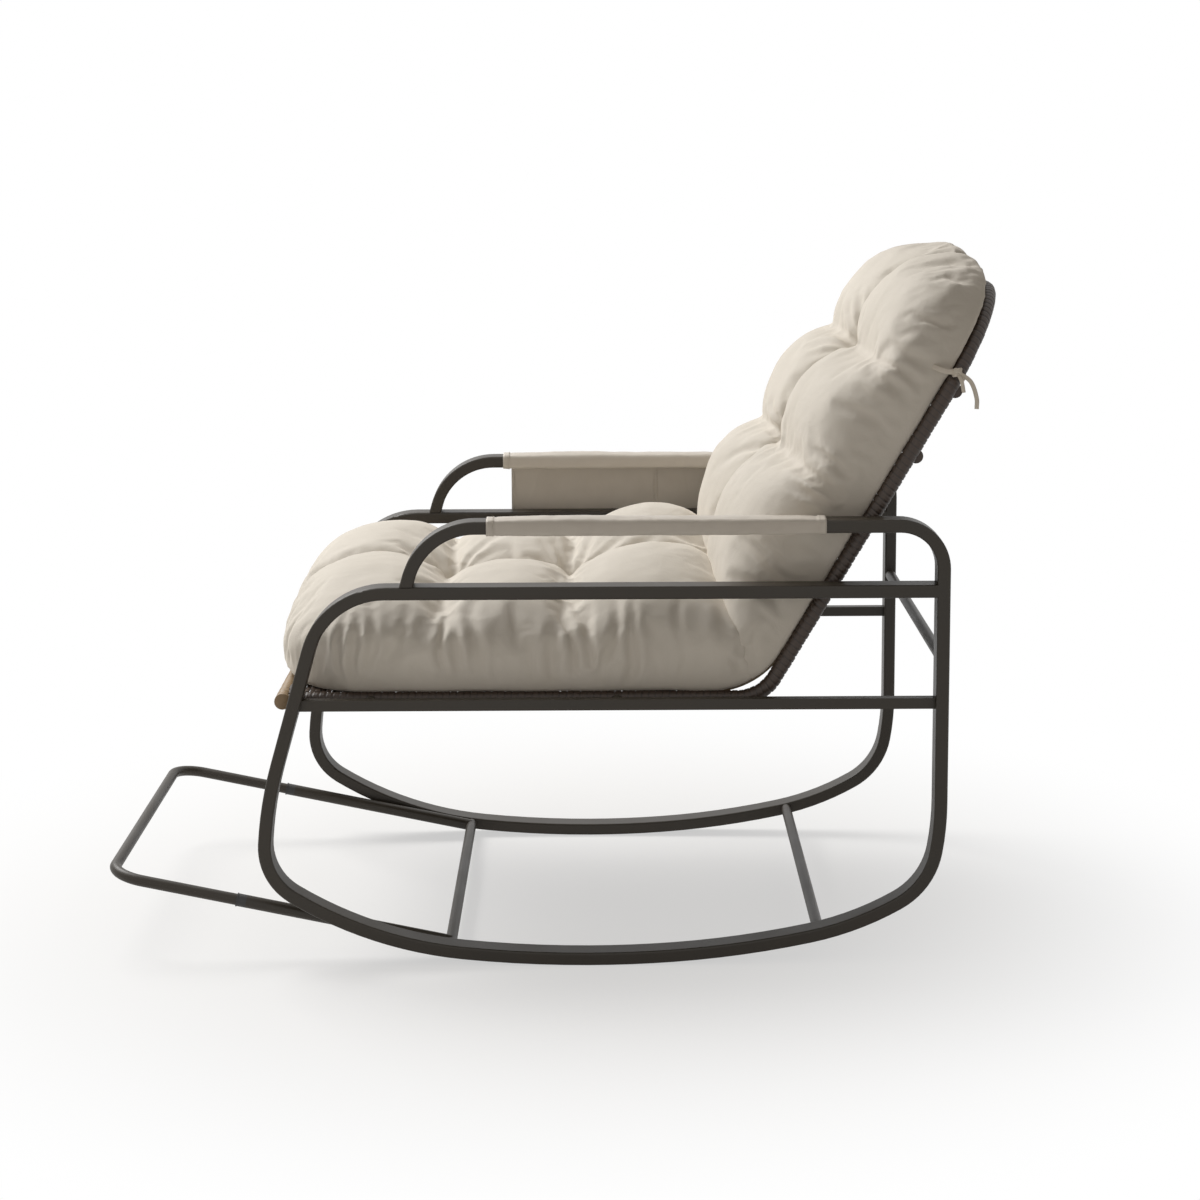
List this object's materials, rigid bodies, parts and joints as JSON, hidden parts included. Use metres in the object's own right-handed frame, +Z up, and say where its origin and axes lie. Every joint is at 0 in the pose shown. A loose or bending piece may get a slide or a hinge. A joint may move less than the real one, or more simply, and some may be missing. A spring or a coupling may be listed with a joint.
{
  "type": "rocking chair with footrest",
  "caption": "Rocking lounge chair on curved tube runners, with a woven shell, tufted pad, arm covers, a side pocket and a pull-out footrest.",
  "frame": {"origin": "on the floor, in the middle of the part's box from the footrest's front bar to the top of the back and from the pocket to the opposite arm cover", "axes": "+Z up, the chair faces -Y, +X is the sitter's left"},
  "size_m": [0.674, 1.2558, 0.9768],
  "materials": {
    "frame_paint": "fine matte powder coat",
    "shell_steel": "powder coat under the wrapping",
    "wicker_tube": "brown powder coat",
    "bolt_steel": "zinc plated",
    "bush_plastic": "satin",
    "wicker": "woven resin strand",
    "front_wicker": "woven resin strand",
    "pad_cloth": "soft brushed cloth over fibre filling",
    "cover_cloth": "coated cloth"
  },
  "bodies": {
    "frame": {"side_loop_left": "frame_paint", "side_loop_right": "frame_paint", "arm_bow_left": "frame_paint", "arm_bow_right": "frame_paint", "seat_rail_left": "frame_paint", "seat_rail_right": "frame_paint", "front_stretcher": "frame_paint", "rear_stretcher": "frame_paint", "back_crossbar": "frame_paint", "footrest_guide_left": "frame_paint", "footrest_guide_right": "frame_paint", "guide_bush_left": "bush_plastic", "guide_bush_right": "bush_plastic", "shell_frame": "shell_steel", "shell_front_tube": "shell_steel", "rim_wrap": "wicker", "front_wrap": "front_wicker", "seat_weave": "wicker", "bend_weave": "wicker", "back_weave": "wicker", "seat_bearer_front": "wicker_tube", "seat_bearer_middle": "wicker_tube", "seat_bearer_rear": "wicker_tube", "back_bearer": "wicker_tube", "back_bar_upper": "wicker", "back_bar_lower": "wicker", "shell_spacers": "frame_paint", "shell_washers": "frame_paint", "shell_bolts": "bolt_steel", "seat_pad": "pad_cloth", "back_pad": "pad_cloth", "pad_buttons": "pad_cloth", "pad_tie_left": "pad_cloth", "pad_tie_right": "pad_cloth", "arm_cover_left": "cover_cloth", "arm_cover_right": "cover_cloth", "pocket_backing": "cover_cloth", "pocket_pouch_front": "cover_cloth", "pocket_pouch_rear": "cover_cloth"},
    "footrest": {"footrest_bar": "frame_paint", "footrest_plugs": "bush_plastic"}
  },
  "joints": [
    {"name": "footrest_slide", "type": "slide", "parent": "frame", "child": "footrest", "axis": [0, -0.9789, 0.2045], "range_m": [-0.115, 0]}
  ]
}
